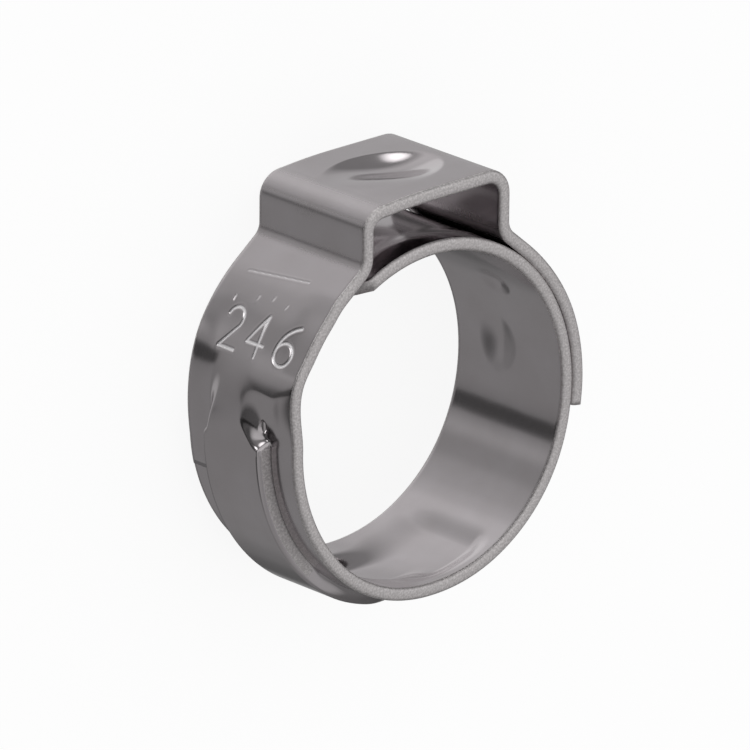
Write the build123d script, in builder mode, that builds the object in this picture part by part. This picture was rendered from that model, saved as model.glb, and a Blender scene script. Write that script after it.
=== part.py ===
"""Stepless single-ear hose clamp, rolled from one strip of stainless steel.

The frame: +Z runs along the bore, +Y points from the bore to the ear, and +X
makes the third axis.  The origin is the centre of the bore at half the width
of the band.  Angles are counter-clockwise from +X, seen from +Z.

The strip, followed clockwise from its inner end: a narrow tongue, the inner
band under the ear, two pressed hooks on the right, the bottom, a tunnel for
the tongue on the left, a step up by one thickness, the ear, and an outer band
whose windows drop over the two hooks.
"""

from build123d import *
from dataclasses import dataclass
from math import acos, cos, degrees, radians, sin, tan
import os

os.makedirs("parts", exist_ok=True)


@dataclass
class Hook:
    """A hook pressed outward from the inner band, with one sheared, square end."""

    face_angle: float  # of the sheared face, degrees
    shift: float  # along Z
    length: float  # of the hollow, square to the face
    width: float  # of the hollow


# --- Strip and bore ---------------------------------------------------------
bore_diameter = 15.3  # open, measured to the inner band
band_width = 7.0
band_thickness = 0.6
lap_clearance = 0.05  # between two layers that lie on each other

# --- Ear --------------------------------------------------------------------
ear_inner_width = 7.3  # between the legs
ear_height = 3.17  # outer top of the ear above the bore circle
ear_corner_radius = 0.5  # inside the two top corners
ear_foot_radius = 0.7  # on the outer side of the two feet
foot_run = 13.0  # degrees over which the band lifts off towards a foot

# --- Stiffening dimple in the top of the ear --------------------------------
dimple_end_clearance = 0.1  # flat metal between the dimple and each corner
dimple_width = 3.9
dimple_depth = 0.5
dimple_wall_slope = 38.0  # degrees against the top of the ear
dimple_rim_radius = 0.3  # inside the bend round the rim
dimple_floor_radius = 1.1  # inside the bend round the floor

# --- Tongue, step and tunnel ------------------------------------------------
tongue_width = 3.0
tongue_side_clearance = 0.1  # between the tongue and each tunnel wall
tongue_tip_angle = 194.0
tongue_tip_radius = 0.8
shoulder_setback = 1.5  # degrees past the leg of the ear
shoulder_slant = 41.0  # degrees, edge of the shoulder against the axis
step_low_angle = 177.0  # here the side flanges reach the bore
step_high_angle = 154.0  # here the whole width is raised
tunnel_wall = 0.35
tunnel_edge_radius = 0.25
tunnel_full_angle = 256.0  # the roof is at its full height up to here
tunnel_end_angle = 289.0  # the roof is back at band level here
tunnel_end_slope = 9.0  # degrees against the band

# --- Outer end, hooks and windows -------------------------------------------
outer_end_angle = -8.3
hook_rise = 0.5
hook_wall = 0.3
hook_land = 0.08  # metal kept at the sheared face of a hook
hook_draft = 14.0  # degrees
window_side_clearance = 0.1
window_face_clearance = 0.05  # at the sheared face, which takes the load
window_tail_clearance = 0.35
window_corner_radius = 0.35
support_hook = Hook(face_angle=-3.2, shift=-0.8, length=2.8, width=1.8)
locking_hook = Hook(face_angle=27.5, shift=0.15, length=1.35, width=1.5)

# --- Derived ----------------------------------------------------------------
bore_radius = bore_diameter / 2
inner_skin = bore_radius + band_thickness  # outside of the inner band
lap_radius = inner_skin + lap_clearance  # inside of the outer band
outer_skin = lap_radius + band_thickness
ear_half_width = ear_inner_width / 2
ear_top = bore_radius + ear_height
ear_inner_top = ear_top - band_thickness
half_slope = tan(radians(dimple_wall_slope / 2))
rim_reach = (dimple_rim_radius + band_thickness) * half_slope
ear_flat_half = ear_half_width - ear_corner_radius
dimple_half_length = ear_flat_half - dimple_end_clearance - rim_reach
dimple_half_width = dimple_width / 2 - rim_reach
leg_angle = degrees(acos(ear_half_width / lap_radius))
left_run_angle = 180 - leg_angle + foot_run
right_run_angle = leg_angle - foot_run
shoulder_angle = 180 - leg_angle + shoulder_setback
tunnel_inner_width = tongue_width + 2 * tongue_side_clearance
tunnel_outer_width = tunnel_inner_width + 2 * tunnel_wall


def on_circle(radius, angle):
    """Point at a radius and an angle in degrees."""
    return Vector(radius * cos(radians(angle)), radius * sin(radians(angle)))


def clockwise(angle):
    """Unit tangent of a clockwise run at an angle in degrees."""
    return Vector(sin(radians(angle)), -cos(radians(angle)))


def clockwise_arc(radius, start, end):
    """Arc about the bore from one angle down to another."""
    return CenterArc((0, 0), radius, start, end - start)


def ring_sector(end_angle, start_angle):
    """Face of the inner band between two angles."""
    with BuildSketch(mode=Mode.PRIVATE) as sector:
        with BuildLine():
            clockwise_arc(bore_radius, end_angle, start_angle)
            clockwise_arc(inner_skin, end_angle, start_angle)
            for angle in (start_angle, end_angle):
                Line(on_circle(bore_radius, angle), on_circle(inner_skin, angle))
        make_face()
    return sector.sketch


def foot_corner(run_angle, leg_x, lift):
    """Where the straight run that leaves the lap circle meets a leg of the ear."""
    start = on_circle(lap_radius + lift, run_angle)
    tangent = clockwise(run_angle)
    return start + tangent * ((leg_x - start.X) / tangent.X)


def strip_face_line(lift):
    """One face of the strip from shoulder to outer end, lift above its bore side."""
    low_radius = bore_radius + lift
    high_radius = lap_radius + lift
    leg_x = ear_half_width + lift
    top_y = ear_inner_top + lift
    corner = ear_corner_radius + lift
    foot = ear_foot_radius + band_thickness - lift
    inner_run = clockwise_arc(low_radius, shoulder_angle, step_low_angle - 360)
    Spline(
        inner_run @ 1,
        on_circle(high_radius, step_high_angle),
        tangents=(clockwise(step_low_angle), clockwise(step_high_angle)),
    )
    raised_run = clockwise_arc(high_radius, step_high_angle, left_run_angle)
    FilletPolyline(
        raised_run @ 1,
        foot_corner(left_run_angle, -leg_x, lift),
        (-leg_x, top_y),
        (leg_x, top_y),
        foot_corner(right_run_angle, leg_x, lift),
        on_circle(high_radius, right_run_angle),
        radius=[foot, corner, corner, foot],
    )
    clockwise_arc(high_radius, right_run_angle, outer_end_angle)


def lies_outside(edge):
    """Whether an edge of the tunnel roof is on the outer face of the strip."""
    middle = edge @ 0.5
    return middle.X**2 + middle.Y**2 > (lap_radius + lap_clearance) ** 2


def roof_face_line(lift):
    """One face of the tunnel roof, from its low end up to the raised band."""
    ramp_start = on_circle(bore_radius + lift, tunnel_end_angle)
    ramp_end = on_circle(lap_radius + lift, tunnel_full_angle)
    Spline(
        ramp_start,
        ramp_end,
        tangents=(
            clockwise(tunnel_end_angle).rotate(Axis.Z, tunnel_end_slope),
            clockwise(tunnel_full_angle),
        ),
    )
    clockwise_arc(lap_radius + lift, tunnel_full_angle, step_high_angle)


def radial_plane(angle, height, shift=0):
    """Plane square to a radius: local X runs counter-clockwise, local Y along +Z."""
    outward = on_circle(1, angle)
    centre = on_circle(height, angle) + Vector(0, 0, shift)
    return Plane(origin=centre, x_dir=-clockwise(angle), z_dir=outward)


def hook_plane(hook, height):
    """Radial plane through the middle of a hook."""
    half_turn = degrees(hook.length / 2 / inner_skin)
    return radial_plane(hook.face_angle + half_turn, height, hook.shift)


def hook_block(hook, margin, setback, low, high):
    """Rounded block with one square end: the hollow of a hook, or its outside."""
    base = hook_plane(hook, low)
    face = base.origin + base.x_dir * (setback - hook.length / 2)
    with BuildPart(mode=Mode.PRIVATE) as block:
        with BuildSketch(base):
            with Locations(((margin - hook.width) / 2, 0)):
                SlotOverall(hook.length + hook.width + margin, hook.width + 2 * margin)
        extrude(amount=high - low, taper=hook_draft)
        split(bisect_by=Plane(origin=face, z_dir=base.x_dir), keep=Keep.TOP)
    return block.part


def dimple_block(top, grow):
    """Oval dish below a level of the ear, its outline grown by an amount."""
    set_in = dimple_depth / tan(radians(dimple_wall_slope))
    half_length = dimple_half_length + grow
    half_width = dimple_half_width + grow
    with BuildPart(mode=Mode.PRIVATE) as block:
        for drop, shrink in ((0, 0), (dimple_depth, set_in)):
            level = Plane(origin=(0, top - drop, 0), x_dir=(1, 0, 0), z_dir=(0, 1, 0))
            with BuildSketch(level):
                Ellipse(half_length - shrink, half_width - shrink)
        loft(ruled=True)
    return block.part


# --- Tongue with its slanted shoulders ----------------------------------------
shoulder_drop = (band_width - tongue_width) / 2
shoulder_length = shoulder_drop * tan(radians(shoulder_slant))
shoulder_end = shoulder_angle + degrees(shoulder_length / inner_skin)
with BuildPart() as tongue:
    extrude(ring_sector(shoulder_end, shoulder_angle), amount=band_width / 2, both=True)
    middle = (shoulder_angle + shoulder_end) / 2
    with BuildSketch(radial_plane(middle, bore_radius - band_thickness)):
        with BuildLine():
            Polyline(
                (-shoulder_length, band_width / 2 + shoulder_drop / 2),
                (shoulder_length, tongue_width / 2 - shoulder_drop / 2),
                (shoulder_length, band_width / 2 + shoulder_drop / 2),
                close=True,
            )
        make_face()
        mirror(about=Plane.XZ)
    extrude(amount=3 * band_thickness, mode=Mode.SUBTRACT)
    extrude(ring_sector(tongue_tip_angle, shoulder_angle), amount=tongue_width / 2, both=True)
    tip = tongue.faces().sort_by(Axis.Y)[0]
    fillet(tip.edges().filter_by(Axis.Z, reverse=True), tongue_tip_radius)

# --- Tunnel: the raised roof and the passage under it -------------------------
with BuildPart() as roof:
    with BuildSketch():
        with BuildLine():
            roof_face_line(0)
            roof_face_line(band_thickness)
            Line(
                on_circle(bore_radius, tunnel_end_angle),
                on_circle(inner_skin, tunnel_end_angle),
            )
            Line(
                on_circle(lap_radius, step_high_angle),
                on_circle(outer_skin, step_high_angle),
            )
        make_face()
    extrude(amount=tunnel_outer_width / 2, both=True)
    roof_sides = roof.faces().filter_by(Axis.Z)
    long_edges = roof_sides.edges().filter_by(GeomType.LINE, reverse=True)
    fillet(long_edges.filter_by(lies_outside), tunnel_edge_radius)

with BuildPart() as passage:
    depth_radius = bore_radius - band_thickness
    with BuildSketch():
        with BuildLine():
            roof_face_line(0)
            clockwise_arc(depth_radius, tunnel_end_angle, step_high_angle)
            Line(
                on_circle(depth_radius, tunnel_end_angle),
                on_circle(bore_radius, tunnel_end_angle),
            )
            Line(
                on_circle(depth_radius, step_high_angle),
                on_circle(lap_radius, step_high_angle),
            )
        make_face()
    extrude(amount=tunnel_inner_width / 2, both=True)

# --- The band: the full-width strip and everything pressed into it ------------
with BuildPart() as band:
    with BuildSketch():
        with BuildLine():
            strip_face_line(0)
            strip_face_line(band_thickness)
            Line(
                on_circle(bore_radius, shoulder_angle),
                on_circle(inner_skin, shoulder_angle),
            )
            Line(
                on_circle(lap_radius, outer_end_angle),
                on_circle(outer_skin, outer_end_angle),
            )
        make_face()
    extrude(amount=band_width / 2, both=True)

    # dimple: the bulge below the top of the ear, the dish above it, soft bends
    add(dimple_block(ear_inner_top, band_thickness * half_slope))
    add(dimple_block(ear_top, 0), mode=Mode.SUBTRACT)
    bulge, bulge_rim, floor, rim = band.edges().filter_by(GeomType.ELLIPSE).group_by(Axis.Y)
    fillet(floor, dimple_floor_radius)
    fillet(bulge, dimple_floor_radius + band_thickness)
    fillet(bulge_rim, dimple_rim_radius)
    fillet(rim, dimple_rim_radius + band_thickness)

    # tunnel and tongue
    add(roof.part)
    add(passage.part, mode=Mode.SUBTRACT)
    add(tongue.part)

    # windows in the outer band, then the hooks that stand in them
    for hook in (support_hook, locking_hook):
        window_tail = hook_wall + window_tail_clearance
        window_length = hook.length + window_tail + window_face_clearance
        window_width = hook.width + 2 * (hook_wall + window_side_clearance)
        with BuildSketch(hook_plane(hook, lap_radius - lap_clearance / 2)):
            with Locations(((window_tail - window_face_clearance) / 2, 0)):
                RectangleRounded(window_length, window_width, window_corner_radius)
        extrude(amount=2 * band_thickness, mode=Mode.SUBTRACT)
        add(hook_block(hook, hook_wall, 0, inner_skin - hook_land, inner_skin + hook_rise))
        add(
            hook_block(hook, 0, hook_land, bore_radius - hook_land, bore_radius + hook_rise),
            mode=Mode.SUBTRACT,
        )

band.part.label = "clamp_band"
export_step(band.part, "parts/clamp_band.step")
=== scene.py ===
"""Stepless single-ear hose clamp: its surface, finishes, studio and camera.

The strip is blanked flat, its windows and tongue are cut, its edges are broken,
and then it is rolled and pressed, in the order in which such a clamp is made.
All sizes are in millimetres and degrees until a mesh is put into the scene.
"""

from __future__ import annotations

import logging
import math
from dataclasses import dataclass, field
from enum import Enum
from typing import Any, Callable, Iterable, Protocol

import bmesh
import bpy
from mathutils import Matrix, Vector


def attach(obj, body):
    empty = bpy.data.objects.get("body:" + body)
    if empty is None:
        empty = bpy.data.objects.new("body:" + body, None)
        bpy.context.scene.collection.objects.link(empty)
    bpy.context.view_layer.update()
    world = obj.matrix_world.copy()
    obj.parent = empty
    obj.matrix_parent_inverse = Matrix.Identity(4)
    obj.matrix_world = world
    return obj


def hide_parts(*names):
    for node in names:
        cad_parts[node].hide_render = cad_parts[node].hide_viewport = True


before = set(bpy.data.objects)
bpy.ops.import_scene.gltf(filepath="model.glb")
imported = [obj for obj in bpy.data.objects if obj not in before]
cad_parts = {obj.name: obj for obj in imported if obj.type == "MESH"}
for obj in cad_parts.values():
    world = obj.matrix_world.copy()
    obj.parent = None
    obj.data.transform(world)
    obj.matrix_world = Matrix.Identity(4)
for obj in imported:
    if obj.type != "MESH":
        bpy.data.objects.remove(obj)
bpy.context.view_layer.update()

LOG = logging.getLogger("clamp")
MM = 0.001
HALF_BAND = 3.5  # half width of the strip

Rule = tuple[tuple[float, float], ...]  # place and value of each knot


# --- Nodes ------------------------------------------------------------------


def srgb(code: str) -> tuple[float, float, float, float]:
    """Turns an sRGB hex code to a linear colour.

    Args:
        code: Six hex digits after a hash sign.

    Returns:
        Red, green, blue and an alpha of one.
    """
    parts = [int(code[i : i + 2], 16) / 255 for i in (1, 3, 5)]
    linear = [c / 12.92 if c <= 0.04045 else ((c + 0.055) / 1.055) ** 2.4 for c in parts]
    return (*linear, 1.0)


def node(tree: Any, kind: str, inputs: dict[Any, Any] | None = None, **settings: Any) -> Any:
    """Adds a node, sets it up and links it.

    Args:
        tree: Node tree of a material or of the world.
        kind: Blender's name of the node's type.
        inputs: Value or output socket for each input, by name or number.
        **settings: Properties of the node.

    Returns:
        The new node.
    """
    made = tree.nodes.new(kind)
    for name, value in settings.items():
        setattr(made, name, value)
    for name, value in (inputs or {}).items():
        if isinstance(value, bpy.types.NodeSocket):
            tree.links.new(value, made.inputs[name])
        else:
            made.inputs[name].default_value = value
    return made


def set_stops(ramp: Any, stops: list[tuple[float, float]]) -> None:
    """Puts grey stops on a colour ramp.

    Args:
        ramp: The node.
        stops: Place from 0 to 1 and linear grey of each stop.
    """
    elements = ramp.color_ramp.elements
    while len(elements) < len(stops):
        elements.new(1.0)
    for element, (place, grey) in zip(elements, stops):
        element.position = place
        element.color = (grey, grey, grey, 1.0)


# --- The strip, from flat blank to rolled clamp --------------------------------


def once(items: Iterable[Any]) -> list[Any]:
    """The items without repeats, in their own order, so that each run cuts alike."""
    return list(dict.fromkeys(items))


def ease(value: float) -> float:
    """Smooth rise from 0 to 1 as a value goes from 0 to 1."""
    t = min(max(value, 0.0), 1.0)
    return t * t * (3 - 2 * t)


def blend_between(knots: Rule, place: float) -> float:
    """Smooth value between knots of a rule.

    Args:
        knots: Place and value of each knot, places rising.
        place: Where the value is wanted.

    Returns:
        The value, held at its ends beyond the first and last knot.
    """
    if place <= knots[0][0]:
        return knots[0][1]
    for (low, first), (high, second) in zip(knots, knots[1:]):
        if place <= high:
            return first + (second - first) * ease((place - low) / (high - low))
    return knots[-1][1]


@dataclass(frozen=True)
class Run:
    """A stretch of the strip's bore-side line, straight or with one bend.

    The turn is in degrees to the right, the rise is how far the line eases
    outward over the stretch, and the spacing is that of the lines across it.
    """

    length: float
    turn: float = 0.0
    rise: float = 0.0
    spacing: float = 0.2


class Path:
    """The bore-side line of the strip, from the tongue's tip to the outer end."""

    NEAR = (-0.3, 0.0, 0.3)  # places over which the work of a bend is evened out
    GENTLE = 9.0  # degrees in a millimetre that leave the skin bright
    HARD = 34.0  # degrees in a millimetre that dull it fully

    def __init__(self, place: Vector, heading: float, runs: list[Run]) -> None:
        """Lays the runs end to end.

        Args:
            place: Start of the line.
            heading: Direction at the start, degrees from +X.
            runs: Stretches in order.
        """
        self.runs = runs
        self.starts: list[tuple[float, Vector, float]] = []
        distance, angle = 0.0, math.radians(heading)
        for run in runs:
            self.starts.append((distance, place, angle))
            place, outward = self.along(run, place, angle, run.length)
            angle -= math.radians(run.turn)
            distance += run.length
        self.length = distance

    @staticmethod
    def along(run: Run, place: Vector, angle: float, part: float) -> tuple[Vector, Vector]:
        """Place and outward direction part of the way along a run.

        Args:
            run: The stretch.
            place: Its start.
            angle: Its heading at the start, in radians.
            part: Distance from its start.

        Returns:
            The place and the outward direction.
        """
        turned = math.radians(run.turn) * part / run.length
        outward = Vector((-math.sin(angle - turned), math.cos(angle - turned)))
        if run.turn:
            radius = run.length / math.radians(run.turn)
            centre = place - radius * Vector((-math.sin(angle), math.cos(angle)))
            place = centre + radius * outward
        else:
            place = place + part * Vector((math.cos(angle), math.sin(angle)))
        return place + outward * (run.rise * ease(part / run.length)), outward

    def at(self, distance: float) -> tuple[Vector, Vector]:
        """Place and outward direction at a distance along the strip.

        Args:
            distance: From the tongue's tip.

        Returns:
            The place and the outward direction.
        """
        for run, (start, place, angle) in zip(self.runs, self.starts):
            if distance <= start + run.length:
                break
        return self.along(run, place, angle, distance - start)

    def worked(self, distance: float) -> float:
        """How hard the strip is bent at a place, from 0 to 1.

        Args:
            distance: From the tongue's tip.

        Returns:
            The share.
        """
        found = 0.0
        for near in self.NEAR:
            for run, (start, _, _) in zip(self.runs, self.starts):
                if start <= distance + near <= start + run.length:
                    bend = abs(run.turn) / run.length - self.GENTLE
                    found += ease(bend / (self.HARD - self.GENTLE)) / len(self.NEAR)
                    break
        return found

    def cross_lines(self) -> list[float]:
        """Distances of the lines across the strip, closer where it bends more.

        Returns:
            The distances, rising.
        """
        lines = [0.0]
        for run, (start, _, _) in zip(self.runs, self.starts):
            count = max(1, round(run.length / run.spacing))
            lines += [start + run.length * (i + 1) / count for i in range(count)]
        return lines


class Blank:
    """The flat strip: X along it, Y across it, and its thickness up from Z = 0."""

    REACH = 0.6  # how far round a cut its faces are looked for
    SNAP = 0.004  # corners this close to a cut count as on it
    CLOSE = 0.001  # under this two heights or widths are the same

    def __init__(self, along: list[float], across: list[float]) -> None:
        """Lays out a sheet with a line at each distance given.

        Args:
            along: Distances along the strip.
            across: Distances across the strip.
        """
        self.mesh = bmesh.new()
        columns, rows = len(along) - 1, len(across) - 1
        bmesh.ops.create_grid(self.mesh, x_segments=columns, y_segments=rows, size=0.5)
        for vert in self.mesh.verts:
            column = round((vert.co.x + 0.5) * columns)
            row = round((vert.co.y + 0.5) * rows)
            vert.co = (along[column], across[row], 0.0)

    def faces_near(self, points: list[Vector]) -> list[Any]:
        """Faces whose middle is within the points' box or close to it.

        Args:
            points: Corners of an outline on the sheet.

        Returns:
            The faces.
        """
        low = [min(p[i] for p in points) - self.REACH for i in (0, 1)]
        high = [max(p[i] for p in points) + self.REACH for i in (0, 1)]
        return [
            face
            for face in self.mesh.faces
            if all(low[i] < face.calc_center_bounds()[i] < high[i] for i in (0, 1))
        ]

    def punch(self, points: list[Vector]) -> None:
        """Cuts a convex outline out of the sheet.

        Args:
            points: Corners of the outline, counter-clockwise.
        """
        faces = self.faces_near(points)
        for here, there in zip(points, points[1:] + points[:1]):
            side = there - here
            outward = Vector((side.y, -side.x, 0.0)).normalized()
            edges = once(edge for face in faces for edge in face.edges)
            verts = once(vert for face in faces for vert in face.verts)
            cut = bmesh.ops.bisect_plane(
                self.mesh,
                geom=[*verts, *edges, *faces],
                plane_co=here,
                plane_no=outward,
                dist=self.SNAP,
            )
            pieces = [g for g in cut["geom"] if isinstance(g, bmesh.types.BMFace)]
            faces = [
                face
                for face in once([*pieces, *faces])
                if face.is_valid and (face.calc_center_median() - here).dot(outward) < 0
            ]
        bmesh.ops.delete(self.mesh, geom=faces, context="FACES")

    def tidy(self, reach: float) -> None:
        """Joins the corners that a cut left too close to each other.

        Args:
            reach: Distance under which two corners become one.
        """
        rim = once(vert for edge in self.mesh.edges if edge.is_boundary for vert in edge.verts)
        near = once(other for vert in rim for edge in vert.link_edges for other in edge.verts)
        bmesh.ops.remove_doubles(self.mesh, verts=near, dist=reach)

    def thicken(self, thickness: float) -> None:
        """Gives the sheet its thickness.

        Args:
            thickness: Of the strip.
        """
        grown = bmesh.ops.extrude_face_region(self.mesh, geom=self.mesh.faces[:])
        top = [g for g in grown["geom"] if isinstance(g, bmesh.types.BMVert)]
        bmesh.ops.translate(self.mesh, verts=top, vec=(0.0, 0.0, thickness))
        bmesh.ops.recalc_face_normals(self.mesh, faces=self.mesh.faces[:])

    def break_edges(self, half_width: float, width: float) -> None:
        """Marks the cut faces and rounds the rims of the long sides, as tumbling does.

        Args:
            half_width: Of the strip.
            width: Of the rounding.
        """
        for face in self.mesh.faces:
            face.material_index = int(abs(face.normal.z) < 0.5)
        rims = [
            edge
            for edge in self.mesh.edges
            if {round(abs(face.normal.z)) for face in edge.link_faces} == {0, 1}
            and min(abs(vert.co.y) for vert in edge.verts) > half_width - self.CLOSE
        ]
        bmesh.ops.bevel(
            self.mesh,
            geom=rims,
            offset=width,
            offset_type="OFFSET",
            affect="EDGES",
            segments=3,
            profile=0.5,
            material=1,
            clamp_overlap=False,
        )


class Press(Protocol):
    """A tool that lifts both faces of the strip locally."""

    def lifts(self, along: float, across: float) -> tuple[float, float]:
        """Lift of the bore side and of the outer side at a place on the strip.

        Args:
            along: Distance along the strip.
            across: Distance from the middle of the strip.

        Returns:
            Both lifts.
        """


@dataclass(frozen=True)
class Tunnel:
    """The raised lane for the tongue: drawn at its ends, sheared beside the step.

    Every rule gives a size at a distance along the strip.
    """

    height: Rule
    shoulder: Rule  # half width where the roof starts to fall
    foot: Rule  # half width where it reaches the band
    inner_shoulder: Rule
    inner_foot: Rule
    sheared: Rule  # 1 where the walls are sheared
    inward: Rule  # how much nearer the middle the front wall starts
    wall: tuple[float, float] = (1.84, 1.925)  # half widths at top and foot of a sheared wall
    crest: float = 1.72  # half width where the roof starts to round off
    rollover: float = 0.34  # share of the height that the rounded top of the wall takes
    rounding: float = 2.5  # how late the rounded top falls
    gap: float = 0.1  # depth of the torn line at the wall's foot
    torn_middle: float = 1.95  # across the strip
    torn_reach: float = 0.04  # half width of the torn line
    reach: float = 3.2  # half width beyond which the tunnel lifts nothing
    front_foot: float = 0.35  # share of the inward shift that the front wall's foot takes

    def lifts(self, along: float, across: float) -> tuple[float, float]:
        """Lift of the bore side and of the outer side at a place on the strip.

        Args:
            along: Distance along the strip.
            across: Distance from the middle of the strip.

        Returns:
            Both lifts.
        """
        height = blend_between(self.height, along)
        side = abs(across)
        if height == 0 or side > self.reach:
            return 0.0, 0.0
        drawn = self.drawn(along, across)
        wall_top, wall_foot = self.wall
        bend = min(max((side - self.crest) / (wall_top - self.crest), 0.0), 1.0)
        drop = min(max((side - wall_top) / (wall_foot - wall_top), 0.0), 1.0)
        cut = (1 - self.rollover * bend**self.rounding) * (1 - drop)
        share = blend_between(self.sheared, along)
        aside = abs(side - self.torn_middle) / self.torn_reach
        torn = self.gap * share * max(0.0, 1 - aside)
        top, low = blend_between(self.inner_shoulder, along), blend_between(self.inner_foot, along)
        inside = 1 - ease((side - top) / (low - top))
        return height * inside, height * (drawn + (cut - drawn) * share) - torn

    def drawn(self, along: float, across: float) -> float:
        """Share of the height that a drawn, uncut wall has at a place on the strip.

        Args:
            along: Distance along the strip.
            across: Distance from the middle of the strip.

        Returns:
            The share, from 0 to 1.
        """
        top, low = blend_between(self.shoulder, along), blend_between(self.foot, along)
        if across > 0:
            pull = blend_between(self.inward, along)
            top, low = top - pull, low - self.front_foot * pull
        return 1 - ease((abs(across) - top) / (low - top))


@dataclass(frozen=True)
class Step:
    """How the raised band comes down beside the tunnel, its back side much sooner."""

    angle: Callable[[float], float]  # angle at a distance along the strip
    tunnel: Tunnel
    low: float  # angles between which the path itself comes down
    high: float
    drop: float
    start: Rule = (  # angle where the fall starts, by place across
        (-HALF_BAND, 146.0), (-1.9, 155.0), (0.0, 160.5),
        (2.3, 162.0), (2.9, 160.0), (HALF_BAND, 156.5),
    )
    finish: Rule = ((-HALF_BAND, 188.0), (-1.9, 180.0), (0.0, 178.0))
    hollow: Rule = (  # depth of a hollow before it, by angle
        (133, 0.0), (141, 0.06), (147, 0.17), (153, 0.25), (160, 0.3), (168, 0.27), (180, 0.0),
    )
    valley: float = -2.15  # across the strip
    ridge: float = 0.5
    blunt: float = 0.5  # rounding of the hollow's deepest line
    feather: float = 0.3  # rounding of its edges
    span: tuple[float, float] = (130.0, 190.0)  # angles beyond which nothing is lifted

    def lifts(self, along: float, across: float) -> tuple[float, float]:
        """Lift of the bore side and of the outer side at a place on the strip.

        Args:
            along: Distance along the strip.
            across: Distance from the middle of the strip.

        Returns:
            Both lifts.
        """
        angle = self.angle(along)
        if not self.span[0] < angle < self.span[1]:
            return 0.0, 0.0
        path = self.drop * ease((angle - self.high) / (self.low - self.high))
        start, finish = blend_between(self.start, across), blend_between(self.finish, across)
        fall = self.drop * ease((angle - start) / (finish - start))
        aside = 1 - self.tunnel.drawn(along, across)
        up = (self.ridge - across) / (self.ridge - self.valley)
        back = (across + HALF_BAND) / (self.valley + HALF_BAND)
        low = (up + back - math.hypot(up - back, self.blunt)) / 2
        share = (low + math.hypot(low, self.feather)) / 2
        sunk = self.follow(self.hollow, angle) * share
        sunk *= 1 - (fall if across < 0 else path) / self.drop * aside
        flange = path - fall
        return (flange - sunk) * aside, flange * aside - sunk

    @staticmethod
    def follow(knots: Rule, angle: float) -> float:
        """Value of a rule at an angle, along a smooth curve through its knots.

        Args:
            knots: Angle and value of each knot.
            angle: Where the value is wanted.

        Returns:
            The value.
        """
        if angle <= knots[0][0]:
            return knots[0][1]
        slopes = [
            (high[1] - low[1]) / (high[0] - low[0]) for low, high in zip(knots, knots[1:])
        ]
        turns = [0.0, *((a + b) / 2 for a, b in zip(slopes, slopes[1:])), 0.0]
        for i, (low, high) in enumerate(zip(knots, knots[1:])):
            if angle <= high[0]:
                width = high[0] - low[0]
                t = (angle - low[0]) / width
                rise = high[1] - low[1]
                first, last = turns[i] * width, turns[i + 1] * width
                return low[1] + t * (
                    first + t * (3 * rise - 2 * first - last + t * (first + last - 2 * rise))
                )
        return knots[-1][1]


@dataclass(frozen=True)
class Bead:
    """A shallow bead along the front of the inner band, under the ear."""

    start: float
    end: float
    ridge: float = 2.65  # across the strip
    inner: float = 1.5
    outer: float = 3.6
    rise: float = 0.085
    run_in: float = 1.4  # over which it rises at each end

    def lifts(self, along: float, across: float) -> tuple[float, float]:
        """Lift of the bore side and of the outer side at a place on the strip.

        Args:
            along: Distance along the strip.
            across: Distance from the middle of the strip.

        Returns:
            Both lifts.
        """
        length = ease((along - self.start) / self.run_in) * ease((self.end - along) / self.run_in)
        near = ease((across - self.inner) / (self.ridge - self.inner))
        past = ease((across - self.ridge) / (self.outer - self.ridge))
        return 0.0, self.rise * length * near * (1 - past)


@dataclass(frozen=True)
class HookTool:
    """A hook pressed outward: a ramp that ends in a square, sheared face."""

    face: float  # distance along the strip of the sheared end
    middle: float  # across the strip
    length: float
    width: float
    rise: float = 0.5
    dish: float = 0.17
    wall: float = 0.3
    rim: float = 0.55  # width over which a side falls
    ramp: float = 0.75  # share of the length that the ramp takes
    flare: float = 0.1  # by which the ramp's foot runs past the wall
    lip: tuple[float, float] = (0.06, 0.16)  # start and length of the fall at the face
    oval: tuple[float, float] = (0.62, 0.7)  # hollow's half axes, as shares of length and width
    bowl: float = 1.8  # how much the hollow is drawn to its middle
    lean: tuple[float, float] = (0.4, 0.3)  # how much it is deeper at the face and in front
    before: float = 0.2  # how far ahead of the face it lifts anything
    behind: float = 1.0  # and how far past the ramp's start

    def hump(self, along: float, across: float) -> float:
        """Height from 0 to 1 of the hook's outside.

        Args:
            along: Distance along the strip.
            across: Distance from the middle of the strip.

        Returns:
            The height.
        """
        reach = self.face - along
        far = max(reach - (self.length - self.width / 2), 0.0)
        inside = self.width / 2 + self.wall - math.hypot(far, across - self.middle)
        ramp = ease((self.length + self.wall + self.flare - reach) / (self.length * self.ramp))
        return ramp * ease(inside / self.rim) * ease((reach + self.lip[0]) / self.lip[1])

    def hollow(self, along: float, across: float) -> float:
        """Height from 0 to 1 of the oval hollow on the bore side.

        Args:
            along: Distance along the strip.
            across: Distance from the middle of the strip.

        Returns:
            The height.
        """
        x = (self.face - along - 0.5 * self.length) / (self.oval[0] * self.length)
        z = (across - self.middle) / (self.oval[1] * self.width)
        round_off = max(0.0, 1 - x * x - z * z)
        return round_off**self.bowl * (1 - self.lean[0] * x + self.lean[1] * z)

    def lifts(self, along: float, across: float) -> tuple[float, float]:
        """Lift of the bore side and of the outer side at a place on the strip.

        Args:
            along: Distance along the strip.
            across: Distance from the middle of the strip.

        Returns:
            Both lifts.
        """
        if not -self.before < self.face - along < self.length + self.behind:
            return 0.0, 0.0
        return self.dish * self.hollow(along, across), self.rise * self.hump(along, across)


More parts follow.
